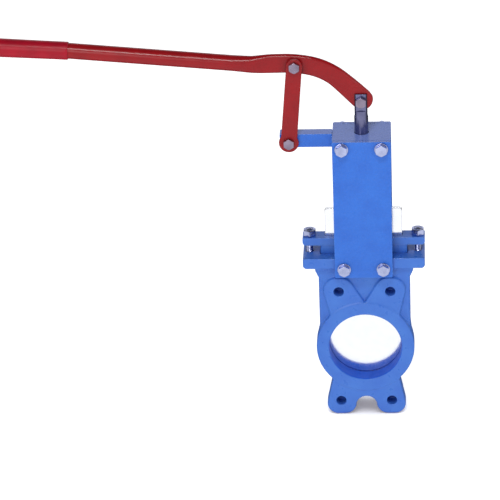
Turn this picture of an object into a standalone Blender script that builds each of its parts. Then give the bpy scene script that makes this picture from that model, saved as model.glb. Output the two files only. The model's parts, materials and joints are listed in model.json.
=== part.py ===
"""Knife gate valve, DN 100, lever operated, closed.

Everything is modelled about the centre of the bore: X across the valve, Y along the pipe, Z up.
The whole model then hangs on one empty, which puts the centre of the base on the world origin.
Units are metres.
"""
import math

import bmesh
import bpy
from mathutils import Matrix, Vector

MM = 0.001
GAP = 0.3 * MM                      # clearance between pieces that touch

# Body casting
BORE_R = 49 * MM
RING_R = 66 * MM                    # raised sealing face
RING_REAR_R = 62.5 * MM             # the rear half of the casting is a little smaller
REAR_INSET = 3.5 * MM
FACE_Y = 26 * MM                    # half of the face-to-face length
CHEST_HALF = 61 * MM
CHEST_Y = 20 * MM
FLARE_HALF = 65.5 * MM
FLANGE_HALF = 82 * MM
FLANGE_Y = 27 * MM
FLANGE_Z = (118 * MM, 134 * MM)
PITCH_R = 90 * MM                   # half of the 180 mm bolt circle
LUG_ANGLE = math.radians(22.5)
LUG_X = PITCH_R * math.sin(LUG_ANGLE)
LUG_Z = PITCH_R * math.cos(LUG_ANGLE)
LUG_HALF = 20.4 * MM
LUG_CORNER_R = {1: 18.5 * MM, -1: 15 * MM}  # of the upper and the lower lugs
LUG_TRIM = {1: 0, -1: 1.5 * MM}     # taken off the outer sides of the lower lugs
LUG_OUTER_ROOT = (46 * MM, 46 * MM) # where its outer side runs into the ring
LUG_INNER_ROOT = {1: (0, 66 * MM), -1: (0, 61.2 * MM)}  # and its inner side, above and below
VALLEY_R = 14 * MM                  # round top of the V between the lower lugs
VALLEY_CENTRE_Z = -91 * MM
VALLEY_FILL = (13 * MM, -84 * MM)   # half width and lower edge of the metal it is cut from
LUG_Y = 24.4 * MM
LUG_HOLE_R = 7 * MM
LUG_HOLE_DEPTH = 18 * MM
BASE_Z = -(LUG_Z + LUG_HALF)

# Gate and what it runs in
GATE_T = 6 * MM
GATE_HALF = 51.4 * MM
GATE_BOTTOM = -51 * MM
GATE_TOP = 197 * MM
GATE_CORNER_R = 4 * MM
SLOT_HALF = 52.2 * MM
SLOT_FRONT = -3.6 * MM
SLOT_REAR = 3.3 * MM
SEAT_BORE_R = 57 * MM
SEAT_T = 5.6 * MM
GUIDE_Z = (62 * MM, 105 * MM)
GUIDE_HALF = 57 * MM

# Packing box and gland
BOX_HALF = 58.3 * MM
BOX_Y = 10 * MM
BOX_FLOOR = 110 * MM
PACKING_H = 6 * MM
PACKING_COUNT = 3
GLAND_HALF = 81.5 * MM
GLAND_Y = 11 * MM
GLAND_Z = (146.5 * MM, 157 * MM)
GLAND_STUD_X = 72 * MM

# Yoke
PLATE_HALF = 38.3 * MM
PLATE_T = 6 * MM
PLATE_Z = (108.8 * MM, 306.6 * MM)
BLOCK_Z = (286 * MM, 306.6 * MM)
RELIEF_TOP = 299.5 * MM             # groove that the top edge of the raised gate enters
RELIEF_HALF = 3.75 * MM
YOKE_BOLT_X = 26 * MM
YOKE_BOLT_Z = {"upper": 296.6 * MM, "lower": 121.7 * MM}
YOKE_BOLT_REACH = {"upper": 14 * MM, "lower": 12 * MM}

# Stem
STEM_R = 9.2 * MM
STEM_BOTTOM = 162 * MM
STEM_TOP = 362.8 * MM
STEM_FLAT_Y = 6.6 * MM
STEM_FLAT_Z = 339 * MM
FORK_HALF = 3.6 * MM
FORK_FLOOR = 330 * MM
GATE_PIN_Z = {"lower": 172 * MM, "upper": 186 * MM}
GATE_PIN_R = 3 * MM
BUSH_R = 12 * MM

# Lever linkage, as X and Z of each pivot at rest
PIN = Vector((0, 0, 352.2 * MM))
FULCRUM = Vector((-85.3 * MM, 0, 405.6 * MM))
ANCHOR = Vector((-95.2 * MM, 0, 297.5 * MM))
ARM_X = (-107.3 * MM, -38.6 * MM)
ARM_Y = 8.4 * MM
ARM_Z = (289.4 * MM, 308 * MM)
ARM_SLOT_HALF = 5.6 * MM
LINK_R = 10.3 * MM
LINK_EYE_R = 13 * MM                # lower end of the link
LINK_T = 5 * MM
LEVER_R = 10.4 * MM                 # round bar
LEVER_FLAT_HALF = 13 * MM           # forged flat: half of its width
LEVER_FLAT_Y = 4.4 * MM             # and half of its thickness
LEVER_EYE_Y = 3.3 * MM              # thinner where it enters the stem's fork
LEVER_EYE_REACH = 19 * MM           # how far from the pin it stays thin
LEVER_EYE_TAPER = 10 * MM
LEVER_EYE = Vector((1.4 * MM, 0, 353.8 * MM))
LEVER_EYE_HALF = 14.6 * MM          # half of its width at the eye
LEVER_EYE_SHRINK = 60 * MM          # over which that falls to the flat's
LEVER_SLOPE = math.radians(5.5)
LEVER_NECK = [(-18.5, 373.6), (-36.5, 389.2), (-58.2, 399.9), (-85.3, 405.1), (-112, 405.6)]
LEVER_FLAT_END_X = -112 * MM        # from here the flat turns into the round bar
LEVER_ROUNDING = 50 * MM            # over this length
LEVER_STRAIGHT_FROM = Vector((-143 * MM, 0, 404.9 * MM))
GRIP_SLOPE = math.radians(3.7)      # the bar bends down a little where the grip begins
LEVER_END_X = -493 * MM
GRIP_BEND_X = -376 * MM
GRIP_START_X = -379.5 * MM
GRIP_R = 12.3 * MM
GRIP_START_R = 11.8 * MM
GRIP_CAP_T = 3.2 * MM

# Fasteners: shank radius, width across flats, head and nut heights
M8 = {"r": 3.9 * MM, "flats": 13 * MM, "head": 5.3 * MM, "nut": 6.8 * MM}
M10 = {"r": 4.7 * MM, "flats": 16 * MM, "head": 6.4 * MM, "nut": 8.4 * MM}
M10_SMALL = {"r": 4.7 * MM, "flats": 14 * MM, "head": 6 * MM}
WASHER_T = 1.6 * MM
WASHER_R = 9 * MM
FREE_HOLE = 0.4 * MM                # how much wider than the shank a hole's radius is
HOLE_SIDES = 16

VALVE_AXIS_X = -(LEVER_END_X - 4 * MM + FLANGE_HALF) / 2

BLUE = (0.035, 0.155, 0.62)
RED = (0.33, 0.010, 0.016)
GRIP_RED = (0.42, 0.008, 0.022)
STAINLESS = (0.72, 0.72, 0.74)
STEEL = (0.36, 0.36, 0.38)
ZINC = (0.62, 0.62, 0.66)
RUBBER = (0.02, 0.02, 0.022)
PTFE = (0.85, 0.85, 0.82)
BRONZE = (0.55, 0.36, 0.15)


# ---------------------------------------------------------------- scene helpers

def clear_scene():
    for obj in list(bpy.data.objects):
        bpy.data.objects.remove(obj, do_unlink=True)


def make_collection(name):
    collection = bpy.data.collections.new(name)
    bpy.context.scene.collection.children.link(collection)
    return collection


def make_material(name, colour, roughness, metallic):
    material = bpy.data.materials.new(name)
    material.use_nodes = True
    shader = material.node_tree.nodes["Principled BSDF"]
    shader.inputs["Base Color"].default_value = (*colour, 1)
    shader.inputs["Roughness"].default_value = roughness
    shader.inputs["Metallic"].default_value = metallic
    return material


def make_empty(name, location, parent=None):
    empty = bpy.data.objects.new(name, None)
    empty.location = location
    empty.parent = parent
    PARTS.objects.link(empty)
    return empty


def finish_part(mesh, name, look, parent, origin=(0, 0, 0)):
    """Link a mesh drawn about the bore centre as the named part under its parent empty."""
    obj = bpy.data.objects.new(name, mesh)
    mesh.transform(Matrix.Translation(-Vector(origin)))
    mesh.materials.clear()
    mesh.materials.append(make_material(name, *look))
    mesh.shade_smooth()
    mesh.set_sharp_from_angle(angle=math.radians(35))
    obj.parent = parent
    obj.location = Vector(origin) - PIVOTS[parent.name]
    PARTS.objects.link(obj)
    return obj


def make_tool(mesh, name):
    """A hidden operand for a Boolean, drawn about the bore centre."""
    tool = bpy.data.objects.new(name, mesh)
    tool.hide_render = True
    tool.display_type = "WIRE"
    tool.parent = VALVE
    TOOLS.objects.link(tool)
    return tool


def combine(obj, mesh, operation):
    tool = make_tool(mesh, f"{obj.name}.{operation.lower()}.{len(obj.modifiers)}")
    modifier = obj.modifiers.new(tool.name, "BOOLEAN")
    modifier.operation = operation
    modifier.object = tool
    modifier.solver = "EXACT"
    return tool


def cut(obj, mesh):
    return combine(obj, mesh, "DIFFERENCE")


def unite(obj, mesh):
    return combine(obj, mesh, "UNION")


def round_edges(obj, width, segments=2):
    modifier = obj.modifiers.new("round_edges", "BEVEL")
    modifier.width = width
    modifier.segments = segments
    modifier.limit_method = "ANGLE"
    modifier.angle_limit = math.radians(40)


# ---------------------------------------------------------------- shapes

def to_mesh(bm, name):
    mesh = bpy.data.meshes.new(name)
    bm.to_mesh(mesh)
    bm.free()
    return mesh


def box(x, y, z):
    """A box from its low and high X, Y and Z."""
    low = Vector((x[0], y[0], z[0]))
    high = Vector((x[1], y[1], z[1]))
    bm = bmesh.new()
    bmesh.ops.create_cube(bm, size=1)
    bmesh.ops.scale(bm, vec=high - low, verts=bm.verts)
    bmesh.ops.translate(bm, vec=(low + high) / 2, verts=bm.verts)
    return to_mesh(bm, "box")


def rod(centre, radius, span, axis="Y", sides=32):
    """A cylinder about an axis through centre, from span[0] to span[1] along it."""
    bm = bmesh.new()
    bmesh.ops.create_cone(bm, cap_ends=True, segments=sides, radius1=radius, radius2=radius,
                          depth=span[1] - span[0])
    bmesh.ops.translate(bm, vec=(0, 0, (span[0] + span[1]) / 2), verts=bm.verts)
    turn = {"Z": Matrix(), "Y": Matrix.Rotation(-math.pi / 2, 4, "X"),
            "X": Matrix.Rotation(math.pi / 2, 4, "Y")}[axis]
    place = Vector(centre)
    place["XYZ".index(axis)] = 0
    bm.transform(Matrix.Translation(place) @ turn)
    return to_mesh(bm, "rod")


def arc(centre, radius, start, end, steps):
    """Points on an arc, in degrees, as (across, up) pairs."""
    angles = [math.radians(start + (end - start) * i / steps) for i in range(steps + 1)]
    return [(centre[0] + radius * math.cos(a), centre[1] + radius * math.sin(a)) for a in angles]


def circle(centre, radius, sides):
    return arc(centre, radius, 0, 360 - 360 / sides, sides - 1)


def rounded_box(x, z, low_r, high_r=None, steps=5):
    """A rectangle with its lower and upper corners rounded."""
    high_r = low_r if high_r is None else high_r
    return (arc((x[1] - low_r, z[0] + low_r), low_r, -90, 0, steps)
            + arc((x[1] - high_r, z[1] - high_r), high_r, 0, 90, steps)
            + arc((x[0] + high_r, z[1] - high_r), high_r, 90, 180, steps)
            + arc((x[0] + low_r, z[0] + low_r), low_r, 180, 270, steps))


def stadium(start, end, radius, steps=8):
    """A bar with round ends about two points."""
    along = math.degrees(math.atan2(end[1] - start[1], end[0] - start[0]))
    return (arc(end, radius, along - 90, along + 90, steps)
            + arc(start, radius, along + 90, along + 270, steps))


def slab(loops, span, axis="Y"):
    """Flat outlines, the first with the others as holes, made thick along Y or Z."""
    curve = bpy.data.curves.new("slab", "CURVE")
    curve.dimensions = "2D"
    curve.fill_mode = "BOTH"
    curve.extrude = (span[1] - span[0]) / 2
    for loop in loops:
        spline = curve.splines.new("POLY")
        spline.points.add(len(loop) - 1)
        for point, (across, up) in zip(spline.points, loop):
            point.co = (across, up, 0, 1)
        spline.use_cyclic_u = True
    drawing = bpy.data.objects.new("slab", curve)
    bpy.context.scene.collection.objects.link(drawing)
    bpy.context.view_layer.update()
    mesh = bpy.data.meshes.new_from_object(drawing.evaluated_get(bpy.context.evaluated_depsgraph_get()))
    bpy.data.objects.remove(drawing, do_unlink=True)
    bm = bmesh.new()
    bm.from_mesh(mesh)
    bmesh.ops.remove_doubles(bm, verts=bm.verts, dist=1e-6)
    middle = (span[0] + span[1]) / 2
    if axis == "Y":
        bm.transform(Matrix.Translation((0, middle, 0)) @ Matrix.Rotation(math.pi / 2, 4, "X"))
    else:
        bm.transform(Matrix.Translation((0, 0, middle)))
    bm.to_mesh(mesh)
    bm.free()
    return mesh


def ring(centre, outer, inner, span, axis="Y", sides=20):
    """A washer, spacer or bush: two circles as one slab."""
    place = (centre[0], centre[2]) if axis == "Y" else (centre[0], centre[1])
    return slab([circle(place, radius, sides) for radius in (outer, inner)], span, axis)


def hexagon(centre, flats):
    """A hexagon with one corner up."""
    return arc(centre, flats / math.sqrt(3), 90, 390, 5)


def loft(rings):
    """Skin a row of rings that all have the same number of points, and cap both ends."""
    bm = bmesh.new()
    rows = [[bm.verts.new(point) for point in points] for points in rings]
    count = len(rows[0])
    for row, following in zip(rows, rows[1:]):
        for i in range(count):
            j = (i + 1) % count
            bm.faces.new((row[i], row[j], following[j], following[i]))
    bm.faces.new(rows[0])
    bm.faces.new(list(reversed(rows[-1])))
    bmesh.ops.recalc_face_normals(bm, faces=bm.faces)
    return to_mesh(bm, "loft")


# ---------------------------------------------------------------- fasteners

def add_bolt(name, size, centre, seat_y, tip_y, parent, origin=(0, 0, 0)):
    """A hexagon bolt along Y. Its head stands on seat_y and its shank ends at tip_y."""
    out = math.copysign(1, seat_y - tip_y)
    head = sorted((seat_y, seat_y + out * size["head"]))
    bolt = finish_part(slab([hexagon((centre[0], centre[2]), size["flats"])], head),
                       name, (ZINC, 0.35, 0.9), parent, origin)
    shank = sorted((seat_y + out * size["head"] / 2, tip_y))
    unite(bolt, rod(centre, size["r"], shank, sides=HOLE_SIDES))
    return bolt


def add_nut(name, size, centre, seat, parent, axis="Y", origin=(0, 0, 0)):
    place = (centre[0], centre[2]) if axis == "Y" else (centre[0], centre[1])
    hole = circle(place, size["r"] + GAP, HOLE_SIDES)
    mesh = slab([hexagon(place, size["flats"]), hole], (seat, seat + size["nut"]), axis)
    return finish_part(mesh, name, (ZINC, 0.35, 0.9), parent, origin)


# ---------------------------------------------------------------- body and what sits inside it

def tangent_angle(root, centre, radius, turn):
    """The angle, about a corner of the lug, at which a line from root touches it."""
    across = root[0] - centre[0]
    up = root[1] - centre[1]
    swing = math.acos(radius / math.hypot(across, up))
    return math.degrees(math.atan2(up, across) + turn * swing)


def lug_outline(side, level, inset_out):
    """One lug: a flat end with round corners, and two straight sides that run back into the ring.

    Its outer side is moved in towards the bore's axis by inset_out.
    """
    radius = LUG_CORNER_R[level]
    inset = LUG_HALF - radius
    outer = (LUG_X + inset - inset_out, LUG_Z + inset)
    inner = (LUG_X - inset, LUG_Z + inset)
    root = LUG_INNER_ROOT[level]
    outer_root = (LUG_OUTER_ROOT[0] - inset_out, LUG_OUTER_ROOT[1])
    points = [outer_root]
    points += arc(outer, radius, tangent_angle(outer_root, outer, radius, 1), 90, 7)
    points += arc(inner, radius, 90, tangent_angle(root, inner, radius, -1) % 360, 5)
    points += [root, (0, RING_R * 0.8), (LUG_X, RING_R * 0.6)]
    return [(side * x, level * z) for x, z in points]


def add_body():
    chest = [(-CHEST_HALF, 0), (CHEST_HALF, 0), (CHEST_HALF, FLANGE_Z[0] - 16 * MM),
             (FLARE_HALF, FLANGE_Z[0] - 6 * MM), (FLARE_HALF, FLANGE_Z[0] + 2 * MM),
             (-FLARE_HALF, FLANGE_Z[0] + 2 * MM), (-FLARE_HALF, FLANGE_Z[0] - 6 * MM),
             (-CHEST_HALF, FLANGE_Z[0] - 16 * MM)]
    body = finish_part(slab([chest], (-CHEST_Y, CHEST_Y)), "body", (BLUE, 0.35, 0.0), VALVE)

    unite(body, rod((0, 0, 0), RING_R, (-FACE_Y, 0), sides=64))
    unite(body, rod((0, 0, 0), RING_REAR_R, (-FACE_Y / 2, FACE_Y), sides=64))
    flange = rounded_box((-FLANGE_HALF, FLANGE_HALF), FLANGE_Z, 4.5 * MM, 1.5 * MM, steps=4)
    unite(body, slab([flange], (-FLANGE_Y, FLANGE_Y)))
    for side in (-1, 1):
        for level in (-1, 1):
            trim = LUG_TRIM[level]
            unite(body, slab([lug_outline(side, level, trim)], (-LUG_Y, 0)))
            unite(body, slab([lug_outline(side, level, trim + REAR_INSET)], (-LUG_Y / 2, LUG_Y)))
    half, low = VALLEY_FILL
    unite(body, box((-half, half), (-LUG_Y + 0.5 * MM, LUG_Y - 0.5 * MM), (low, -RING_R * 0.9)))
    cut(body, rod((0, 0, VALLEY_CENTRE_Z), VALLEY_R, (-FACE_Y, FACE_Y), sides=40))

    # The slot that the gate runs in, round at the bottom, and the recesses for its guides.
    slot = [(SLOT_HALF, FLANGE_Z[1] + 5 * MM), (-SLOT_HALF, FLANGE_Z[1] + 5 * MM)]
    slot += arc((0, 0), SLOT_HALF, 180, 360, 32)
    cut(body, slab([slot], (SLOT_FRONT, SLOT_REAR)))
    cut(body, box((-GUIDE_HALF, GUIDE_HALF), (SLOT_FRONT - 0.1 * MM, SLOT_REAR + 0.1 * MM), GUIDE_Z))
    cut(body, box((-BOX_HALF, BOX_HALF), (-BOX_Y, BOX_Y), (BOX_FLOOR, FLANGE_Z[1] + 6 * MM)))

    # The bore in front of the gate, and behind it the wider bore for the seat and its sleeve.
    cut(body, rod((0, 0, 0), BORE_R, (-FACE_Y - 5 * MM, 0), sides=56))
    cut(body, rod((0, 0, 0), SEAT_BORE_R, (1 * MM, FACE_Y + 5 * MM), sides=48))

    for face in (-1, 1):
        for side in (-1, 1):
            for level in (-1, 1):
                depth = sorted((face * (LUG_Y + 2 * MM), face * (LUG_Y - LUG_HOLE_DEPTH)))
                cut(body, rod((side * LUG_X, 0, level * LUG_Z), LUG_HOLE_R, depth, sides=24))
            depth = sorted((face * (FLANGE_Y + 2 * MM),
                            face * (FLANGE_Y - YOKE_BOLT_REACH["lower"] - 2 * MM)))
            hole = (side * YOKE_BOLT_X, 0, YOKE_BOLT_Z["lower"])
            cut(body, rod(hole, M10["r"] + GAP, depth, sides=HOLE_SIDES))
    for side in (-1, 1):
        cut(body, rod((side * GLAND_STUD_X, 0, 0), M10["r"] + GAP,
                      (FLANGE_Z[0] - 5 * MM, FLANGE_Z[1] + 5 * MM), "Z", sides=HOLE_SIDES))
    return body


def add_seat():
    span = (SLOT_REAR + 0.05 * MM, SLOT_REAR + 0.05 * MM + SEAT_T)
    seat = ring((0, 0, 0), SEAT_BORE_R - GAP, BORE_R, span, sides=48)
    finish_part(seat, "seat_ring", (RUBBER, 0.7, 0.0), VALVE)
    sleeve = ring((0, 0, 0), SEAT_BORE_R - GAP, BORE_R, (span[1] + GAP, FACE_Y - GAP), sides=48)
    finish_part(sleeve, "seat_sleeve", (STAINLESS, 0.3, 1.0), VALVE)


def add_guides():
    for side, name in ((-1, "gate_guide_left"), (1, "gate_guide_right")):
        across = sorted((side * (GATE_HALF + 0.5 * MM), side * (GUIDE_HALF - GAP)))
        strip = box(across, (SLOT_FRONT + GAP, SLOT_REAR - GAP), (GUIDE_Z[0] + GAP, GUIDE_Z[1] - GAP))
        finish_part(strip, name, (PTFE, 0.5, 0.0), VALVE)


def add_packing():
    outer = rounded_box((-BOX_HALF + GAP, BOX_HALF - GAP), (-BOX_Y + GAP, BOX_Y - GAP), 1 * MM, steps=2)
    inner = rounded_box((-GATE_HALF - 0.4 * MM, GATE_HALF + 0.4 * MM),
                        (-GATE_T / 2 - 0.4 * MM, GATE_T / 2 + 0.4 * MM), 0.5 * MM, steps=2)
    for layer in range(PACKING_COUNT):
        low = BOX_FLOOR + GAP + layer * (PACKING_H + GAP)
        mesh = slab([outer, inner], (low, low + PACKING_H), "Z")
        finish_part(mesh, f"packing_ring_{layer + 1}", (PTFE, 0.8, 0.0), VALVE)


def add_gland():
    bar = rounded_box((-GLAND_HALF, GLAND_HALF), GLAND_Z, 4.5 * MM, 1.5 * MM, steps=4)
    gland = finish_part(slab([bar], (-GLAND_Y, GLAND_Y)), "gland_follower", (BLUE, 0.35, 0.0), VALVE)
    nose_low = BOX_FLOOR + PACKING_COUNT * (PACKING_H + GAP) + GAP
    nose = rounded_box((-BOX_HALF + GAP, BOX_HALF - GAP), (-BOX_Y + GAP, BOX_Y - GAP), 3 * MM, steps=3)
    unite(gland, slab([nose], (nose_low, GLAND_Z[0] + 3 * MM), "Z"))
    cut(gland, box((-GATE_HALF - 0.6 * MM, GATE_HALF + 0.6 * MM), (-RELIEF_HALF, RELIEF_HALF),
                   (nose_low - 5 * MM, GLAND_Z[1] + 5 * MM)))
    for side, word in ((-1, "left"), (1, "right")):
        x = side * GLAND_STUD_X
        cut(gland, rod((x, 0, 0), M10["r"] + FREE_HOLE,
                       (GLAND_Z[0] - 5 * MM, GLAND_Z[1] + 5 * MM), "Z", sides=HOLE_SIDES))
        seat = GLAND_Z[1] + GAP
        add_nut(f"gland_nut_{word}", M10, (x, 0, 0), seat, VALVE, "Z")
        stud = rod((x, 0, 0), M10["r"], (FLANGE_Z[0] + 1 * MM, seat + M10["nut"] + 0.6 * MM),
                   "Z", sides=HOLE_SIDES)
        finish_part(stud, f"gland_stud_{word}", (ZINC, 0.4, 0.9), VALVE)


# ---------------------------------------------------------------- yoke

def add_yoke():
    for face, word in ((-1, "front"), (1, "rear")):
        outline = rounded_box((-PLATE_HALF, PLATE_HALF), PLATE_Z, 2 * MM, steps=3)
        holes = [circle((side * YOKE_BOLT_X, z), M10["r"] + FREE_HOLE, HOLE_SIDES)
                 for side in (-1, 1) for z in YOKE_BOLT_Z.values()]
        inside = FLANGE_Y + GAP
        span = sorted((face * inside, face * (inside + PLATE_T)))
        finish_part(slab([outline] + holes, span), f"yoke_plate_{word}", (BLUE, 0.3, 0.0), VALVE)
        for level, z in YOKE_BOLT_Z.items():
            for side, hand in ((-1, "left"), (1, "right")):
                centre = (side * YOKE_BOLT_X, 0, z)
                washer_in = inside + PLATE_T + GAP
                washer_out = washer_in + WASHER_T
                label = f"{level}_{word}_{hand}"
                washer = ring(centre, WASHER_R, M10["r"] + FREE_HOLE,
                              sorted((face * washer_in, face * washer_out)))
                finish_part(washer, f"yoke_washer_{label}", (ZINC, 0.4, 0.9), VALVE)
                tip = face * (FLANGE_Y - YOKE_BOLT_REACH[level])
                add_bolt(f"yoke_bolt_{label}", M10_SMALL, centre, face * (washer_out + GAP), tip, VALVE)


def gate_relief(x_span, top):
    return box(x_span, (-RELIEF_HALF, RELIEF_HALF), (BLOCK_Z[0] - 20 * MM, top))


def add_top_block():
    block = finish_part(box((-PLATE_HALF, PLATE_HALF), (-FLANGE_Y, FLANGE_Y), BLOCK_Z),
                        "yoke_top_block", (BLUE, 0.25, 0.0), VALVE)
    cut(block, rod((0, 0, 0), STEM_R + FREE_HOLE, (BLOCK_Z[0] - 5 * MM, BLOCK_Z[1] + 5 * MM), "Z"))
    bush_top = BLOCK_Z[1] - 2 * MM
    cut(block, rod((0, 0, 0), BUSH_R + GAP, (BLOCK_Z[0] - 6 * MM, bush_top), "Z", sides=40))
    cut(block, gate_relief((-PLATE_HALF - 5 * MM, PLATE_HALF + 5 * MM), RELIEF_TOP))
    for face in (-1, 1):
        for side in (-1, 1):
            depth = sorted((face * (FLANGE_Y + 2 * MM),
                            face * (FLANGE_Y - YOKE_BOLT_REACH["upper"] - 1.5 * MM)))
            hole = (side * YOKE_BOLT_X, 0, YOKE_BOLT_Z["upper"])
            cut(block, rod(hole, M10["r"] + GAP, depth, sides=HOLE_SIDES))

    bush = finish_part(ring((0, 0, 0), BUSH_R, STEM_R + FREE_HOLE,
                            (BLOCK_Z[0] + 1 * MM, bush_top - GAP), "Z", sides=40),
                       "stem_bush", (BRONZE, 0.4, 1.0), VALVE)
    cut(bush, gate_relief((-BUSH_R - 5 * MM, BUSH_R + 5 * MM), RELIEF_TOP))


def add_pivot_arm():
    arm = finish_part(slab([rounded_box(ARM_X, ARM_Z, 0.6 * MM, steps=1)], (-ARM_Y, ARM_Y)),
                      "pivot_arm", (BLUE, 0.3, 0.0), VALVE)
    round_edges(arm, 2.2 * MM)
    # The open end lets the anchor bolt move outwards while the link swings.
    slot_end = (ANCHOR.x - 0.6 * MM, ANCHOR.z)
    slot = stadium((ARM_X[0] - 15 * MM, ANCHOR.z), slot_end, ARM_SLOT_HALF)
    cut(arm, slab([slot], (-ARM_Y - 5 * MM, ARM_Y + 5 * MM)))
    cut(arm, gate_relief((-GATE_HALF - 2 * MM, ARM_X[1] + 5 * MM), RELIEF_TOP + 0.5 * MM))


# ---------------------------------------------------------------- gate and stem

def add_gate():
    centre_z = GATE_BOTTOM + GATE_HALF
    corner = GATE_HALF - GATE_CORNER_R
    outline = (arc((0, centre_z), GATE_HALF, 180, 360, 32)
               + arc((corner, GATE_TOP - GATE_CORNER_R), GATE_CORNER_R, 0, 90, 4)
               + arc((-corner, GATE_TOP - GATE_CORNER_R), GATE_CORNER_R, 90, 180, 4))
    holes = [circle((0, z), GATE_PIN_R + GAP, HOLE_SIDES) for z in GATE_PIN_Z.values()]
    finish_part(slab([outline] + holes, (-GATE_T / 2, GATE_T / 2)),
                "gate", (STAINLESS, 0.18, 1.0), STEM_SLIDE)


def add_stem():
    stem = finish_part(rod((0, 0, 0), STEM_R, (STEM_BOTTOM, STEM_TOP), "Z", sides=40),
                       "stem", (STEEL, 0.2, 1.0), STEM_SLIDE)
    wide = (-STEM_R - 5 * MM, STEM_R + 5 * MM)
    cut(stem, box(wide, (-GATE_T / 2 - GAP, GATE_T / 2 + GAP), (STEM_BOTTOM - 5 * MM, GATE_TOP + GAP)))
    cut(stem, box(wide, (-FORK_HALF, FORK_HALF), (FORK_FLOOR, STEM_TOP + 5 * MM)))
    for face in (-1, 1):
        outside = sorted((face * STEM_FLAT_Y, face * (STEM_R + 5 * MM)))
        cut(stem, box(wide, outside, (STEM_FLAT_Z, STEM_TOP + 5 * MM)))
    cut(stem, rod(PIN, M8["r"] + GAP, wide, sides=HOLE_SIDES))
    for level, z in GATE_PIN_Z.items():
        cut(stem, rod((0, 0, z), GATE_PIN_R + GAP, wide, sides=HOLE_SIDES))
        pin = rod((0, 0, z), GATE_PIN_R, (-STEM_R + 0.7 * MM, STEM_R - 0.7 * MM), sides=HOLE_SIDES)
        finish_part(pin, f"gate_pin_{level}", (STAINLESS, 0.3, 1.0), STEM_SLIDE)

    seat = STEM_FLAT_Y + GAP
    add_bolt("stem_bolt", M8, PIN, -seat, seat + M8["nut"] + 2 * MM, STEM_SLIDE)
    add_nut("stem_nut", M8, PIN, seat, STEM_SLIDE)


# ---------------------------------------------------------------- lever and links

def smooth(t):
    return t * t * (3 - 2 * t)


def on_bar(x):
    """The point of the straight bar's centre line at x. It bends down a little at the grip."""
    run = LEVER_STRAIGHT_FROM.x - max(x, GRIP_BEND_X)
    beyond = max(0, GRIP_BEND_X - x)
    rise = run * math.tan(LEVER_SLOPE) + beyond * math.tan(GRIP_SLOPE)
    return Vector((x, 0, LEVER_STRAIGHT_FROM.z + rise))


def lever_centre_line():
    """Points from the eye at the stem, over the swan neck and out along the straight bar."""
    ends = [LEVER_EYE] + [Vector((x * MM, 0, z * MM)) for x, z in LEVER_NECK] + [LEVER_STRAIGHT_FROM]
    straight = Vector((-math.cos(LEVER_SLOPE), 0, math.sin(LEVER_SLOPE)))
    ends.append(LEVER_STRAIGHT_FROM + straight * 40 * MM)
    before = [2 * ends[0] - ends[1]] + ends
    points = []
    for i in range(1, len(ends)):
        p0, p1, p2 = before[i - 1], before[i], before[i + 1]
        p3 = before[i + 2] if i + 2 < len(before) else 2 * p2 - p1
        for step in range(3):
            t = step / 3
            points.append(0.5 * (2 * p1 + (p2 - p0) * t + (2 * p0 - 5 * p1 + 4 * p2 - p3) * t * t
                                 + (3 * p1 - p0 - 3 * p2 + p3) * t ** 3))
    points = [p for p in points if p.x > LEVER_STRAIGHT_FROM.x - 1 * MM]
    for x in (-165 * MM, -260 * MM, GRIP_BEND_X):
        points.append(on_bar(x))
    points.append(on_bar(LEVER_END_X))
    return points


def lever_section(point, along, half_wide, half_thick, sides=16):
    """A ring of points across the bar: a circle where it is round, a flat with round edges at the neck."""
    normal = Vector((-along.z, 0, along.x))
    side = Vector((0, 1, 0))
    edge = min(half_wide, half_thick)
    points = []
    for i in range(sides):
        angle = 2 * math.pi * (i + 0.5) / sides
        c, s = math.cos(angle), math.sin(angle)
        across = c * edge + math.copysign(half_wide - edge, c)
        points.append(point + normal * across + side * (s * half_thick))
    return points


def add_lever():
    line = lever_centre_line()
    rings = []
    # The round tip beyond the pin: the bar narrows on a circle about it.
    first = (line[1] - line[0]).normalized()
    for angle in (8, 25, 45, 65):
        back = LEVER_EYE_HALF * math.cos(math.radians(angle))
        half = LEVER_EYE_HALF * math.sin(math.radians(angle))
        rings.append(lever_section(line[0] - first * back, first, half, min(LEVER_EYE_Y, half)))
    for i, point in enumerate(line):
        ahead = line[min(i + 1, len(line) - 1)]
        behind = line[max(i - 1, 0)]
        along = (ahead - behind).normalized()
        t = (LEVER_FLAT_END_X - point.x) / LEVER_ROUNDING
        blend = smooth(max(0.0, min(1.0, t)))
        shrink = smooth(min(1.0, (point - PIN).length / LEVER_EYE_SHRINK))
        flat_half = LEVER_EYE_HALF + (LEVER_FLAT_HALF - LEVER_EYE_HALF) * shrink
        half_wide = flat_half + (LEVER_R - flat_half) * blend
        thicken = smooth(max(0.0, min(1.0, ((point - PIN).length - LEVER_EYE_REACH) / LEVER_EYE_TAPER)))
        flat_y = LEVER_EYE_Y + (LEVER_FLAT_Y - LEVER_EYE_Y) * thicken
        half_thick = flat_y + (LEVER_R - flat_y) * blend
        rings.append(lever_section(point, along, half_wide, half_thick))
    lever = finish_part(loft(rings), "lever", (RED, 0.3, 0.0), LEVER_PIVOT, PIN)
    for pivot in (PIN, FULCRUM):
        cut(lever, rod(pivot, M8["r"] + GAP, (-15 * MM, 15 * MM), sides=HOLE_SIDES))


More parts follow.
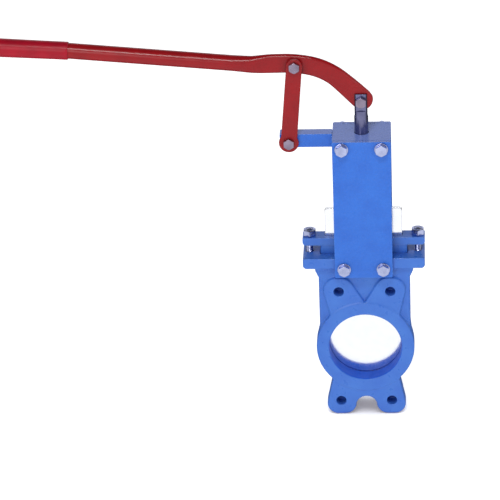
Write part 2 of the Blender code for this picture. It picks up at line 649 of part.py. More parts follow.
def add_grip():
    """A dipped sleeve over the end of the bar, turned about the bar's own axis."""
    length = (GRIP_START_X - LEVER_END_X) / math.cos(GRIP_SLOPE)
    inner = LEVER_R + GAP
    end = length + GAP
    cap = end + GRIP_CAP_T
    profile = [(0, end), (inner, end), (inner, 0), (inner + 0.3 * MM, -0.6 * MM),
               (GRIP_START_R - 0.4 * MM, 0.4 * MM), (GRIP_START_R, 2 * MM), (GRIP_R, cap - 4 * MM),
               (GRIP_R - 1.2 * MM, cap - 1.2 * MM), (GRIP_R - 4 * MM, cap), (0, cap)]
    mesh = bpy.data.meshes.new("grip_profile")
    points = [(radius, 0, height) for radius, height in reversed(profile)]
    mesh.from_pydata(points, [(i, i + 1) for i in range(len(points) - 1)], [])
    grip = finish_part(mesh, "lever_grip", (GRIP_RED, 0.15, 0.0), LEVER_PIVOT)
    screw = grip.modifiers.new("turn", "SCREW")
    screw.steps = 24
    screw.render_steps = 24
    screw.use_merge_vertices = True
    screw.merge_threshold = 0.00001
    grip.location = on_bar(GRIP_START_X) - PIVOTS[LEVER_PIVOT.name]
    grip.rotation_euler = (0, -(math.pi / 2 - GRIP_SLOPE), 0)


def link_outline():
    """A flat bar with a round end at the fulcrum and a larger eye at the anchor."""
    along = math.degrees(math.atan2(FULCRUM.z - ANCHOR.z, FULCRUM.x - ANCHOR.x))
    neck = math.degrees(math.asin(LINK_R / LINK_EYE_R))
    return (arc((FULCRUM.x, FULCRUM.z), LINK_R, along - 90, along + 90, 8)
            + arc((ANCHOR.x, ANCHOR.z), LINK_EYE_R, along + neck, along + 360 - neck, 14))


def add_link():
    inside = ARM_Y + GAP
    centres = {"fulcrum": FULCRUM, "anchor": ANCHOR}
    nut_seats = {"fulcrum": LEVER_FLAT_Y + GAP, "anchor": inside}
    holes = [circle((c.x, c.z), M8["r"] + GAP, HOLE_SIDES) for c in centres.values()]
    link = slab([link_outline()] + holes, (-inside - LINK_T, -inside))
    finish_part(link, "link", (RED, 0.3, 0.0), LINK_PIVOT, FULCRUM)
    spacer = ring(FULCRUM, 8 * MM, M8["r"] + GAP, (-inside + GAP, -LEVER_FLAT_Y - GAP))
    finish_part(spacer, "fulcrum_spacer", (ZINC, 0.4, 0.9), LINK_PIVOT, FULCRUM)
    for word, centre in centres.items():
        seat = nut_seats[word]
        tip = seat + M8["nut"] + 2 * MM
        add_bolt(f"{word}_bolt", M8, centre, -inside - LINK_T - GAP, tip, LINK_PIVOT, FULCRUM)
        add_nut(f"{word}_nut", M8, centre, seat, LINK_PIVOT, origin=FULCRUM)


# ---------------------------------------------------------------- assembly

clear_scene()
PARTS = make_collection("knife_gate_valve")
TOOLS = make_collection("cutters")
VALVE = make_empty("valve_axis", (VALVE_AXIS_X, 0, -BASE_Z))
STEM_SLIDE = make_empty("stem_slide", (0, 0, 0), VALVE)
LEVER_PIVOT = make_empty("lever_pivot", PIN, STEM_SLIDE)
LINK_PIVOT = make_empty("link_pivot", FULCRUM - PIN, LEVER_PIVOT)
PIVOTS = {"valve_axis": Vector((0, 0, 0)), "stem_slide": Vector((0, 0, 0)),
          "lever_pivot": PIN, "link_pivot": FULCRUM}

add_body()
add_seat()
add_guides()
add_packing()
add_gland()
add_yoke()
add_top_block()
add_pivot_arm()
add_gate()
add_stem()
add_lever()
add_grip()
add_link()
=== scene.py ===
"""Finishes, finer pieces, floor, light and camera for the lever-operated knife gate valve."""
import json
import math

import bmesh
import bpy
import numpy as np
from mathutils import Matrix, Vector


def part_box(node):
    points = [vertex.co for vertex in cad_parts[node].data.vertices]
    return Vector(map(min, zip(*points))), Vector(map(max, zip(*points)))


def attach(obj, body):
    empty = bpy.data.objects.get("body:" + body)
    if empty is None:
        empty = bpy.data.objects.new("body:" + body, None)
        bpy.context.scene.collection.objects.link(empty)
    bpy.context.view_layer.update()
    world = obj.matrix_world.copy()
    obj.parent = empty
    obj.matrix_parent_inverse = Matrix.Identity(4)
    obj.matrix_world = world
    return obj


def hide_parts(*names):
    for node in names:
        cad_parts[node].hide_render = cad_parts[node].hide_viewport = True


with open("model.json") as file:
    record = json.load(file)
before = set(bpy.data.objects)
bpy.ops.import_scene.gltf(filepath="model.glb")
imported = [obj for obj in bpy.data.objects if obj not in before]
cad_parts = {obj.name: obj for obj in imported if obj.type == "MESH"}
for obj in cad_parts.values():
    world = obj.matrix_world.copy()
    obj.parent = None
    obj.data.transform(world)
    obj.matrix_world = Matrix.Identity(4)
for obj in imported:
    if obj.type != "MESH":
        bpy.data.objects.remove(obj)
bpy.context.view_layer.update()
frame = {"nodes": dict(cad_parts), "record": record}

MM = 0.001

# The bore centre in the row frame, in metres. Shapes are in millimetres about it, and the camera, lights,
# floor and finishes are in metres.
VALVE = Vector((0.2075, 0.0, 0.103549))

# Camera: it looks down at the valve from the front, a little from the right, with a slight roll.
CAM_AZIMUTH = math.radians(3.833)
CAM_ELEVATION = math.radians(26.417)
CAM_ROLL = math.radians(-2.293)
CAM_DISTANCE = 4.0
CAM_TARGET = Vector((0.054872, 0.0, 0.238879))
CAM_LENS = 214.94
CAM_SENSOR = 36.0


# ---------------------------------------------------------------- node helpers

class Shader:
    """A small helper around a material's node tree."""

    def __init__(self, name):
        self.material = bpy.data.materials.new(name)
        self.material.use_nodes = True
        self.tree = self.material.node_tree
        self.bsdf = self.tree.nodes["Principled BSDF"]
        self.coords = self.add("ShaderNodeTexCoord").outputs["Object"]

    def add(self, kind, inputs=None, **settings):
        node = self.tree.nodes.new(kind)
        for key, value in settings.items():
            setattr(node, key, value)
        for key, value in (inputs or {}).items():
            self.put(node.inputs[key], value)
        return node

    def put(self, socket, value):
        if isinstance(value, bpy.types.NodeSocket):
            self.tree.links.new(value, socket)
        else:
            socket.default_value = value

    def noise(self, scale, detail=2.0, rough=0.5, coords=None, stretch=None):
        source = coords or self.coords
        if stretch:
            source = self.add("ShaderNodeMapping", {"Vector": source, "Scale": stretch}).outputs["Vector"]
        node = self.add("ShaderNodeTexNoise", {"Vector": source, "Scale": scale, "Detail": detail,
                                               "Roughness": rough})
        return node.outputs["Fac"]

    def ramp(self, value, low, high, out=(0.0, 1.0)):
        node = self.add("ShaderNodeMapRange", {"Value": value, "From Min": low, "From Max": high,
                                               "To Min": out[0], "To Max": out[1]})
        node.clamp = True
        return node.outputs["Result"]

    def math(self, kind, a, b):
        return self.add("ShaderNodeMath", {0: a, 1: b}, operation=kind).outputs[0]

    def mix(self, factor, a, b, kind="MIX"):
        node = self.add("ShaderNodeMix", data_type="RGBA", blend_type=kind)
        self.put(node.inputs["Factor"], factor)
        self.put(node.inputs["A"], a)
        self.put(node.inputs["B"], b)
        return node.outputs["Result"]

    def bump(self, height, strength, distance, normal=None):
        inputs = {"Height": height, "Strength": strength, "Distance": distance}
        if normal is not None:
            inputs["Normal"] = normal
        return self.add("ShaderNodeBump", inputs).outputs["Normal"]

    def edges(self, radius, low, high):
        """1 along edges, 0 on flats: how far the bevelled normal turns from the true one."""
        bevel = self.add("ShaderNodeBevel", {"Radius": radius}, samples=6).outputs["Normal"]
        true = self.add("ShaderNodeNewGeometry").outputs["Normal"]
        dot = self.add("ShaderNodeVectorMath", {0: bevel, 1: true}, operation="DOT_PRODUCT")
        return self.ramp(dot.outputs["Value"], low, high, (1.0, 0.0))

    def upward(self):
        """1 on faces that look up, 0 on the others."""
        true = self.add("ShaderNodeNewGeometry").outputs["Normal"]
        height = self.add("ShaderNodeSeparateXYZ", {"Vector": true}).outputs["Z"]
        return self.ramp(height, 0.6, 0.95)

    def painted_shade_mask(self, distance, low, high):
        """1 in corners and gaps, 0 in the open: the mask for painted shade and painted shadow."""
        node = self.add("ShaderNodeAmbientOcclusion", {"Distance": distance}, samples=6)
        return self.ramp(node.outputs["AO"], low, high, (1.0, 0.0))


def rgb(r, g, b):
    """sRGB 0 to 255 as a linear colour."""
    def linear(c):
        c /= 255.0
        return c / 12.92 if c <= 0.04045 else ((c + 0.055) / 1.055) ** 2.4
    return (linear(r), linear(g), linear(b), 1.0)


# Painted sheen: the paler, greyer colour that up-facing enamel is mixed toward.
SHEEN_ON_TOPS = rgb(150, 156, 200)
DARK_RIM = rgb(72, 66, 62)
PAPER = ((0.93, 0.93, 0.935, 1), (0.95, 0.95, 0.95, 1))
PAPER_SHADOW = rgb(146, 142, 142)
GRAIN_DEPTH = 0.0002      # metres, for every fine bump
CAST_DEPTH = 0.0006


def enamel(name, colour, dark, light, roughness, cast=0.0, shade=0.0, gloss=0.3, sheen_on_tops=0.0):
    """Gloss enamel: colour drift, orange peel, thin paint and a painted highlight on edges, painted shade in
    corners and hollows, a painted sheen on tops, and sand-cast lumps.
    """
    s = Shader(name)
    drift = s.ramp(s.noise(38.0, 3.0, 0.55), 0.35, 0.65)
    base = s.mix(drift, colour, s.mix(0.18, colour, dark))
    # Painted highlight mixed with thin paint: edges are lightened toward the light colour.
    base = s.mix(s.math("MULTIPLY", s.edges(0.0012, 0.90, 0.995), 0.30), base, light)
    # Painted shade: corners and gaps are darkened toward the dark colour here, and deeper hollows below by
    # the shade share.
    base = s.mix(s.math("MULTIPLY", s.painted_shade_mask(0.012, 0.20, 0.80), 0.42), base, dark)
    if shade:
        base = s.mix(s.math("MULTIPLY", s.painted_shade_mask(0.055, 0.30, 0.62), shade), base, dark)
    # Painted sheen on faces that look up.
    if sheen_on_tops:
        base = s.mix(s.math("MULTIPLY", s.upward(), sheen_on_tops), base, SHEEN_ON_TOPS)
    s.put(s.bsdf.inputs["Base Color"], base)
    fine = s.noise(900.0, 2.0)
    rough = s.ramp(s.noise(120.0, 3.0), 0.3, 0.7, (roughness * 0.85, roughness * 1.2))
    s.put(s.bsdf.inputs["Roughness"], rough)
    normal = s.bump(fine, 0.02, GRAIN_DEPTH)
    if cast:
        lumps = s.noise(330.0, 4.0, 0.6)
        normal = s.bump(lumps, cast, CAST_DEPTH, normal)
    s.put(s.bsdf.inputs["Normal"], normal)
    s.bsdf.inputs["Specular IOR Level"].default_value = gloss
    return s.material


def metal(name, colour, dark, roughness, scale=(1.0, 1.0, 1.0), grain=700.0, strength=0.1, rim=0.0):
    """Bare or plated metal. scale stretches the grain along an axis, and rim darkens the edges."""
    s = Shader(name)
    streak = s.noise(grain, 3.0, 0.6, stretch=scale)
    cloud = s.ramp(s.noise(90.0, 3.0), 0.35, 0.7)
    base = s.mix(s.math("MULTIPLY", cloud, 0.5), colour, dark)
    # Painted shade: small gaps and corners are darkened toward the dark colour.
    base = s.mix(s.math("MULTIPLY", s.painted_shade_mask(0.004, 0.2, 0.8), 0.6), base, dark)
    if rim:
        # The edges are darkened toward the dark rim colour.
        base = s.mix(s.math("MULTIPLY", s.edges(0.0016, 0.80, 0.99), rim), base, DARK_RIM)
    s.put(s.bsdf.inputs["Base Color"], base)
    s.put(s.bsdf.inputs["Roughness"], s.ramp(streak, 0.3, 0.7, (roughness * 0.75, roughness * 1.3)))
    s.put(s.bsdf.inputs["Normal"], s.bump(streak, strength, GRAIN_DEPTH))
    s.bsdf.inputs["Metallic"].default_value = 1.0
    return s.material


def soft(name, colour, dark, roughness, grain, strength, gloss=0.5):
    """Rubber, plastic or PTFE."""
    s = Shader(name)
    base = s.mix(s.ramp(s.noise(60.0, 3.0), 0.35, 0.7), colour, s.mix(0.35, colour, dark))
    s.put(s.bsdf.inputs["Base Color"], base)
    s.put(s.bsdf.inputs["Roughness"], s.ramp(s.noise(grain, 2.0), 0.3, 0.7,
                                             (roughness * 0.85, roughness * 1.15)))
    s.put(s.bsdf.inputs["Normal"], s.bump(s.noise(grain, 2.0), strength, GRAIN_DEPTH))
    s.bsdf.inputs["Specular IOR Level"].default_value = gloss
    return s.material


FINISH = {
    "cast_enamel": enamel("cast_enamel", rgb(56, 104, 183), rgb(14, 44, 158), rgb(122, 160, 225), 0.30,
                          cast=0.12, shade=0.15, gloss=0.36),
    # Painted shade: a darker copy of the blue enamel for the front bore wall, which sits in shade.
    "bore_painted_shade": enamel("bore_painted_shade", rgb(37, 90, 198), rgb(14, 36, 124), rgb(60, 100, 190), 0.5,
                          cast=0.4, shade=0.5, gloss=0.08),
    "plate_enamel": enamel("plate_enamel", rgb(41, 98, 188), rgb(16, 44, 140), rgb(110, 160, 235), 0.26,
                           gloss=0.34, sheen_on_tops=0.40),
    "red_enamel": enamel("red_enamel", rgb(134, 14, 20), rgb(60, 5, 11), rgb(200, 80, 88), 0.22, gloss=0.26),
    "red_grip": soft("red_grip", rgb(150, 10, 32), rgb(96, 6, 20), 0.34, 500.0, 0.10, gloss=0.2),
    "stainless": metal("stainless", rgb(250, 250, 252), rgb(242, 243, 246), 0.15, (1.0, 1.0, 0.06),
                       strength=0.02, rim=0.9),
    "bright_steel": metal("bright_steel", rgb(118, 118, 150), rgb(84, 84, 114), 0.2, (1.0, 1.0, 12.0)),
    "zinc": metal("zinc", rgb(188, 194, 226), rgb(120, 124, 158), 0.22),
    "pin_steel": metal("pin_steel", rgb(158, 144, 162), rgb(96, 88, 104), 0.25),
    "seat_rubber": soft("seat_rubber", rgb(32, 32, 35), rgb(14, 14, 16), 0.62, 900.0, 0.2),
    "white_ptfe": soft("white_ptfe", rgb(232, 230, 222), rgb(180, 176, 165), 0.5, 600.0, 0.1),
    "bronze": metal("bronze", rgb(186, 140, 84), rgb(110, 78, 40), 0.35),
}


# ---------------------------------------------------------------- carried-over CAD nodes

SLOT_OF = {row["node"]: row["material_slot"] for row in frame["record"]["subparts"]}
LINKAGE_PINS = {f"{pin}_{kind}" for pin in ("stem", "fulcrum", "anchor") for kind in ("bolt", "nut")}
BODY_OF = {node: body for body, nodes in frame["record"]["behaviour"]["bodies"].items() for node in nodes}


def dress(name, width):
    """Gives a carried-over node its finish, and rounds its edges to a width in millimetres."""
    o = frame["nodes"][name]
    o.data.materials.clear()
    o.data.materials.append(FINISH[SLOT_OF[name]])
    weld = o.modifiers.new("weld", "WELD")
    weld.merge_threshold = 0.01 * MM
    flat = o.modifiers.new("flats", "DECIMATE")
    flat.decimate_type = "DISSOLVE"
    flat.angle_limit = math.radians(1.0)
    bevel = o.modifiers.new("edges", "BEVEL")
    bevel.width = width * MM
    bevel.segments = 2
    bevel.limit_method = "ANGLE"
    bevel.angle_limit = math.radians(35.0)
    bevel.use_clamp_overlap = True
    bevel.harden_normals = False
    for face in o.data.polygons:
        face.use_smooth = True
    normals = o.modifiers.new("normals", "WEIGHTED_NORMAL")
    normals.keep_sharp = False
    normals.weight = 80


# ---------------------------------------------------------------- mesh helpers, in millimetres about the bore

def new_object(name, points, faces):
    """A mesh object in the scene, with all its faces turned outward."""
    mesh = bpy.data.meshes.new(name)
    mesh.from_pydata(points, [], faces)
    bm = bmesh.new()
    bm.from_mesh(mesh)
    bmesh.ops.recalc_face_normals(bm, faces=bm.faces)
    bm.to_mesh(mesh)
    bm.free()
    o = bpy.data.objects.new(name, mesh)
    bpy.context.scene.collection.objects.link(o)
    return o


def add_piece(name, points, faces, node, smooth_angle, slot=None):
    """A piece with its finish. It takes the place of a CAD node, or node is None for an extra."""
    slot = slot or SLOT_OF[node]
    o = new_object(name, [tuple(VALVE + Vector(p) * MM) for p in points], faces)
    o.data.shade_smooth()
    o.data.set_sharp_from_angle(angle=math.radians(smooth_angle))
    o.data.materials.append(FINISH["pin_steel" if node in LINKAGE_PINS else slot])
    if node:
        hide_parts(node)
        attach(o, BODY_OF[node])
    return o


def skin_rings(rings, closed=False):
    """Faces over a row of rings with equal numbers of points. The row closes on itself, or gets end caps."""
    count = len(rings[0])
    points = [p for ring in rings for p in ring]
    faces = []
    rows = len(rings)
    for row in range(rows if closed else rows - 1):
        following = (row + 1) % rows
        for i in range(count):
            j = (i + 1) % count
            faces.append((row * count + i, row * count + j, following * count + j, following * count + i))
    if not closed:
        faces.append(tuple(range(count)))
        faces.append(tuple(range((rows - 1) * count, rows * count)))
    return points, faces


# ---------------------------------------------------------------- fasteners

SIDES = 48                # points round a bolt
THREAD = {"M8": (3.9, 1.25), "M10": (4.7, 1.5)}      # outer radius and pitch
THREAD_DEPTH = 0.75
THREAD_END, THREAD_END_CUT = 0.6, 0.9                # length and depth of the turned-down end of a thread
STUD_R = 4.65
NUT_PLAY = 0.25           # room between a nut and its thread
MOUTH_DEPTH, MOUTH_WIDTH = 0.5, 0.6                  # the countersink at each end of a nut's hole
THREADED_SHARE, PLAIN_LEAST = 0.75, 3.0              # the part of a shank with thread, and the least without
RUN_OUT = 0.2             # between the thread and the plain shank
CHAMFER_SHARE = 0.97      # where the 30 degree cone meets a hexagon, as a share of its half flats
FACE_SHARE = 0.93         # the round flat face on a head or nut, in the same terms
SEAT_SHARE, SEAT_STEP = 0.94, 0.35                   # the washer face under a head
YOKE_HEAD, LINKAGE_HEAD = (14, 6), (13, 5.3)         # flats and height
GLAND_NUT_FLATS = 16
FLATS_SMOOTH, THREAD_SMOOTH = 28.0, 60.0             # degrees up to which an edge is shaded round


def hex_radius(flats, angle):
    """How far a hexagon's side is from its centre at an angle. One corner is at angle 0."""
    return flats / 2 / math.cos((angle % (math.pi / 3)) - math.pi / 6)


def hex_ring(flats, height):
    """The rim of a hexagon whose corners are turned off by a 30 degree cone, at the height of its face."""
    ring = []
    for i in range(SIDES):
        angle = 2 * math.pi * i / SIDES
        radius = hex_radius(flats, angle)
        drop = (radius - flats / 2 * CHAMFER_SHARE) * math.tan(math.radians(30))
        ring.append((radius * math.cos(angle), radius * math.sin(angle), height - drop))
    return ring


def round_ring(radius, height):
    """A circle at a height."""
    return [(radius * math.cos(2 * math.pi * i / SIDES), radius * math.sin(2 * math.pi * i / SIDES), height)
            for i in range(SIDES)]


def thread_rings(radius, pitch, low, high):
    """A screw thread from low to high, with turned-down ends."""
    rings = [round_ring(radius - THREAD_END_CUT, low)]
    run = high - low - 2 * THREAD_END
    steps = max(2, int(run / (pitch / 4)))
    for step in range(steps + 1):
        height = low + THREAD_END + run * step / steps
        ring = []
        for i in range(SIDES):
            turn = i / SIDES
            wave = abs(((height / pitch - turn) % 1.0) - 0.5) * 2
            r = radius - THREAD_DEPTH * (1 - wave)
            ring.append((r * math.cos(2 * math.pi * turn), r * math.sin(2 * math.pi * turn), height))
        rings.append(ring)
    rings.append(round_ring(radius - THREAD_END_CUT, high))
    return rings


def place_rings(rings, centre, axis):
    """Stands rings drawn up +Z at a point, along +Z, +Y or -Y."""
    turned = []
    for ring in rings:
        if axis == "+Z":
            moved = [(-y, x, z) for x, y, z in ring]
        elif axis == "-Y":
            moved = [(-y, -z, x) for x, y, z in ring]
        else:
            moved = [(y, z, x) for x, y, z in ring]
        turned.append([(p[0] + centre[0], p[1] + centre[1], p[2] + centre[2]) for p in moved])
    return turned


def node_span(node):
    """A node's box in millimetres about the bore centre."""
    low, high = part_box(node)
    return (low - VALVE) / MM, (high - VALVE) / MM


def make_bolt(node, size, head_size, out):
    """A hexagon bolt along Y in place of a CAD bolt. out is the side that its head is on."""
    flats, head = head_size
    low, high = node_span(node)
    centre = ((low.x + high.x) / 2, 0, (low.z + high.z) / 2)
    seat = (high.y - head) if out > 0 else (low.y + head)
    tip = low.y if out > 0 else high.y
    length = abs(seat - tip)
    radius, pitch = THREAD[size]
    threaded = min(length * THREADED_SHARE, length - PLAIN_LEAST)
    rings = thread_rings(radius, pitch, -length, -length + threaded)[:-1]
    rings.append(round_ring(radius, -length + threaded + RUN_OUT))
    rings.append(round_ring(radius, 0.0))
    rings.append(round_ring(flats / 2 * SEAT_SHARE, 0.0))
    rings.append([(x, y, SEAT_STEP) for x, y, _ in hex_ring(flats, 0)])
    rings.append(hex_ring(flats, head))
    rings.append(round_ring(flats / 2 * FACE_SHARE, head))
    rings.append(round_ring(flats / 4, head))
    points, faces = skin_rings(place_rings(rings, (centre[0], seat, centre[2]), "+Y" if out > 0 else "-Y"))
    add_piece(f"{node}_turned", points, faces, node, FLATS_SMOOTH)


def make_nut(node, size, flats, axis):
    """A nut with both faces chamfered, in place of a CAD nut."""
    low, high = node_span(node)
    middle = [(a + b) / 2 for a, b in zip(low, high)]
    along = 2 if axis == "Z" else 1
    height = high[along] - low[along]
    middle[along] = low[along]
    hole = THREAD[size][0] + NUT_PLAY
    under = [(x, y, height - z) for x, y, z in hex_ring(flats, height)]
    rings = [round_ring(hole, height - MOUTH_DEPTH), round_ring(hole, MOUTH_DEPTH),
             round_ring(hole + MOUTH_WIDTH, 0.0), round_ring(flats / 2 * FACE_SHARE, 0.0), under,
             hex_ring(flats, height), round_ring(flats / 2 * FACE_SHARE, height),
             round_ring(hole + MOUTH_WIDTH, height)]
    points, faces = skin_rings(place_rings(rings, middle, "+Z" if axis == "Z" else "+Y"), closed=True)
    add_piece(f"{node}_turned", points, faces, node, FLATS_SMOOTH)


for level in ("upper", "lower"):
    for hand in ("left", "right"):
        make_bolt(f"yoke_bolt_{level}_front_{hand}", "M10", YOKE_HEAD, -1)
        make_bolt(f"yoke_bolt_{level}_rear_{hand}", "M10", YOKE_HEAD, 1)
for word in ("stem", "fulcrum", "anchor"):
    make_bolt(f"{word}_bolt", "M8", LINKAGE_HEAD, -1)
    make_nut(f"{word}_nut", "M8", LINKAGE_HEAD[0], "Y")
for hand in ("left", "right"):
    make_nut(f"gland_nut_{hand}", "M10", GLAND_NUT_FLATS, "Z")
    stud_low, stud_high = node_span(f"gland_stud_{hand}")
    stud_rings = thread_rings(STUD_R, THREAD["M10"][1], stud_low.z, stud_high.z)
    stud_x = (stud_low.x + stud_high.x) / 2
    stud_points, stud_faces = skin_rings(place_rings(stud_rings, (stud_x, 0, 0), "+Z"))
    add_piece(f"gland_stud_{hand}_threaded", stud_points, stud_faces, f"gland_stud_{hand}", THREAD_SMOOTH)


# ---------------------------------------------------------------- the cast body, as a distance field

# Half widths, radii and spans. X runs across the valve, Y through the bore, Z up the stem.
BORE_R, RING_R, FACE_Y = 49.0, 66.0, 26.0
CHEST_HALF, CHEST_Y = 61.0, 20.0
FLARE_HALF, FLARE_Z = 65.5, (102, 112, 120)          # where the chest's flare starts, is full, and ends
FLANGE_HALF, FLANGE_Y, FLANGE_Z = 82.0, 27.0, (118.0, 134.0)
FLANGE_CORNER = 4.0                                  # cut off the flange's lower corners
ABOVE = 140                                          # a level over the whole casting

# Lugs. A dictionary's key is 1 for the upper pair and -1 for the lower pair.
LUG_AT, LUG_Y, LUG_HALF = (34.442, 83.149), 24.4, 20.4
LUG_CORNER_R = {1: 18.5, -1: 15.0}
LUG_ROOT = {1: 66.0, -1: 61.2}                       # where a pair's inner sides meet
LUG_OUTER_ROOT = (46, 46)
LUG_SUNK = [(0, 50), (34, 40)]                       # the outline inside the ring
LUG_TRIM = {1: 0.0, -1: 1.5}                         # taken off the outer side
LUG_TRIM_FROM, LUG_TRIM_BLEND = 34, 10
FOOT_HALF, FOOT_Z = 13.0, (-84, -58)                 # metal between the lower lugs
VALLEY_Z, VALLEY_R = -91.0, 14.0                     # the round valley cut up into it

# The rear half is a little smaller.
REAR_INSET = 3.5
HALVES_MEET, HALVES_BLEND = -7.0, 12.0

# Openings
SLOT_HALF, SLOT_Y = 52.2, (-3.6, 3.3)                # for the gate
CHANNEL_HALF, CHANNEL_Z, CHANNEL_Y = 57.0, (62, 105), (-3.7, 3.4)
PACKING_HALF, PACKING_Z, PACKING_Y = 58.3, (110, 141), (-10, 10)
SLEEVE_SEAT_R, SLEEVE_SEAT_FRONT = 57.0, 1.0
TAP_R, TAP_DEPTH = 6.8, 18.0                         # tapped M16 holes
BOLT_R = 5.0                                         # holes for M10 bolts and studs
YOKE_BOLT_AT, YOKE_BOLT_DEPTH = (26.0, 121.7), 13.0
STUD_X, STUD_Z = 72.0, (113, 139)

# Rounding: ROUND is on an outer edge, FILLET in a corner, and the rest on machined edges.
CHEST_ROUND, RING_ROUND, LUG_ROUND, FLANGE_ROUND, FLANGE_CORNER_R = 3.0, 2.0, 2.5, 1.6, 3.0
RING_FILLET, LUG_FILLET, FLANGE_FILLET = 3.0, 3.5, 6.0
FACE_EDGE, BORE_EDGE, SEAT_EDGE, SLOT_EDGE, PACKING_EDGE = 0.6, 1.4, 0.8, 0.3, 0.6
TAP_EDGE, BOLT_EDGE, VALLEY_EDGE, SHARP = 0.9, 0.4, 0.5, 0.2

FIELD_LOW, FIELD_HIGH = (-85, -29, -106.5), (85, 29, 137)
CELL = 1.25                                          # grid step of the surface
PROBE = 0.05                                         # step over which the field's slope is read
LEAST_SLOPE = 0.3
ALL_SMOOTH = 180.0
BORE_SKIN = 0.4                                      # how far past the bore a face still counts as its wall


def join(a, b, k):
    """Smooth union of two distance fields, with a fillet of about k."""
    h = np.maximum(k - np.abs(a - b), 0) / k
    return np.minimum(a, b) - h * h * k / 4


def overlap(a, b, k):
    """What two fields share, with a rounded edge."""
    return -join(-a, -b, k)


def without(a, b, k):
    """Field a with b cut out of it, with a rounded edge."""
    return overlap(a, -b, k)


def disc(u, v, centre, radius):
    """Signed distance from a circle."""
    return np.hypot(u - centre[0], v - centre[1]) - radius


def rectangle(u, v, u_span, v_span, corner=0.0):
    """Signed distance from a rectangle, with round corners or square ones."""
    du = np.abs(u - sum(u_span) / 2) - (u_span[1] - u_span[0]) / 2 + corner
    dv = np.abs(v - sum(v_span) / 2) - (v_span[1] - v_span[0]) / 2 + corner
    return np.hypot(np.maximum(du, 0), np.maximum(dv, 0)) + np.minimum(np.maximum(du, dv), 0) - corner


def outline(u, v, points):
    """Signed distance from a closed outline."""
    best = np.full(np.broadcast(u, v).shape, 1e9)
    inside = np.zeros(best.shape, bool)
    for (au, av), (bu, bv) in zip(points, points[1:] + points[:1]):
        eu, ev = bu - au, bv - av
        t = np.clip(((u - au) * eu + (v - av) * ev) / (eu * eu + ev * ev), 0, 1)
        best = np.minimum(best, (u - au - eu * t) ** 2 + (v - av - ev * t) ** 2)
        if ev:
            inside ^= ((av <= v) != (bv <= v)) & (u < au + eu * (v - av) / ev)
    return np.where(inside, -1, 1) * np.sqrt(best)


def between(w, span):
    """Signed distance from the room between two planes."""
    return np.abs(w - sum(span) / 2) - (span[1] - span[0]) / 2


def arc(centre, radius, start, end, steps):
    """Points along an arc, with its ends in degrees."""
    turns = [math.radians(start + (end - start) * i / steps) for i in range(steps + 1)]
    return [(centre[0] + radius * math.cos(t), centre[1] + radius * math.sin(t)) for t in turns]


def tangent_angle(root, centre, radius, turn):
    """The angle, about a corner of the lug, at which a line from root touches it."""
    across, up = root[0] - centre[0], root[1] - centre[1]
    return math.degrees(math.atan2(up, across) + turn * math.acos(radius / math.hypot(across, up)))


def rearward(y):
    """0 in the front half of the casting, 1 in its rear half, which is a little smaller."""
    t = np.clip((y - HALVES_MEET) / HALVES_BLEND, 0, 1)
    return t * t * (3 - 2 * t)


def lug(x, y, z, level):
    """A lug in outline: straight sides from the ring to a flat end with round corners."""
    root = (0, LUG_ROOT[level])
    radius = LUG_CORNER_R[level]
    inset = LUG_HALF - radius
    outer = (LUG_AT[0] + inset, LUG_AT[1] + inset)
    inner = (LUG_AT[0] - inset, LUG_AT[1] + inset)
    points = [LUG_OUTER_ROOT]
    points += arc(outer, radius, tangent_angle(LUG_OUTER_ROOT, outer, radius, 1), 90, 9)
    points += arc(inner, radius, 90, tangent_angle(root, inner, radius, -1) % 360, 7)
    points += [root] + LUG_SUNK
    inset_out = LUG_TRIM[level] + REAR_INSET * rearward(y)
    outer_half = np.clip((np.abs(x) - LUG_TRIM_FROM) / LUG_TRIM_BLEND, 0, 1)
    shape = outline(np.abs(x) + inset_out * outer_half, level * z, points)
    if level < 0:
        shape = np.minimum(shape, rectangle(x, z, (-FOOT_HALF, FOOT_HALF), FOOT_Z))
        shape = without(shape, disc(x, z, (0, VALLEY_Z), VALLEY_R), VALLEY_EDGE)
    return shape


